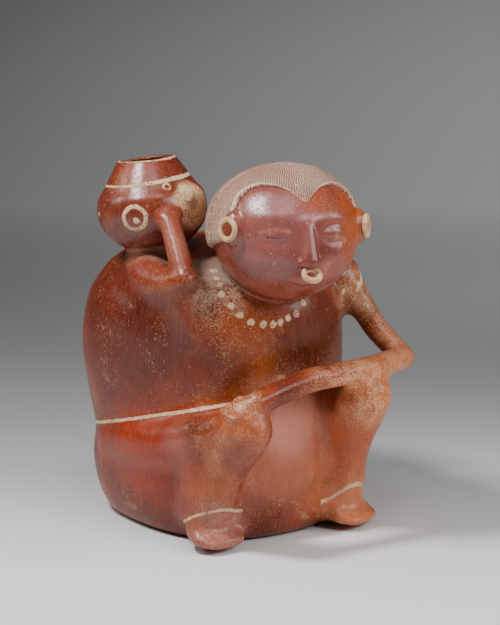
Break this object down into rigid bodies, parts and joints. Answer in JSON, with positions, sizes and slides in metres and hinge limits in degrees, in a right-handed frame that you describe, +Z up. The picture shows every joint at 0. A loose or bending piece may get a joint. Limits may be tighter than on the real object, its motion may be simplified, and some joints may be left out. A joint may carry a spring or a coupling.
{
  "type": "seated figure vessel",
  "caption": "Hollow burnished earthenware vessel in the form of a squatting figure that steadies a small open jar on its shoulder.",
  "frame": {"origin": "middle of the flat that the vessel stands on", "axes": "+Z up; the figure faces -Y, so its own right side, with the jar, is at -X"},
  "size_m": [0.1544, 0.1888, 0.2037],
  "materials": {
    "red_slip": "burnished red-brown slip over earthenware, satin to glossy, with clouds and pits",
    "face_slip": "burnished red slip, purplish to orange",
    "bare_clay": "matt bare buff clay with incised strokes",
    "cream_slip": "matt cream slip, chipped and stained"
  },
  "bodies": {
    "root": {"seat_bowl": "red_slip", "torso_dome": "red_slip", "jar_collar": "red_slip", "jar": "red_slip", "right_thigh": "red_slip", "right_shin": "red_slip", "right_foot": "red_slip", "left_thigh": "red_slip", "left_shin": "red_slip", "left_foot": "red_slip", "right_upper_arm": "red_slip", "right_forearm": "red_slip", "right_hand": "red_slip", "left_upper_arm": "red_slip", "left_forearm": "red_slip", "left_hand": "red_slip", "head_shell": "face_slip", "hair_cap": "bare_clay", "nose": "face_slip", "nose_ring": "cream_slip", "right_eyelid": "face_slip", "left_eyelid": "face_slip", "lips": "face_slip", "right_ear": "face_slip", "right_ear_ring": "cream_slip", "right_ear_plug": "red_slip", "left_ear": "face_slip", "left_ear_ring": "cream_slip", "left_ear_plug": "red_slip"}
  },
  "joints": []
}
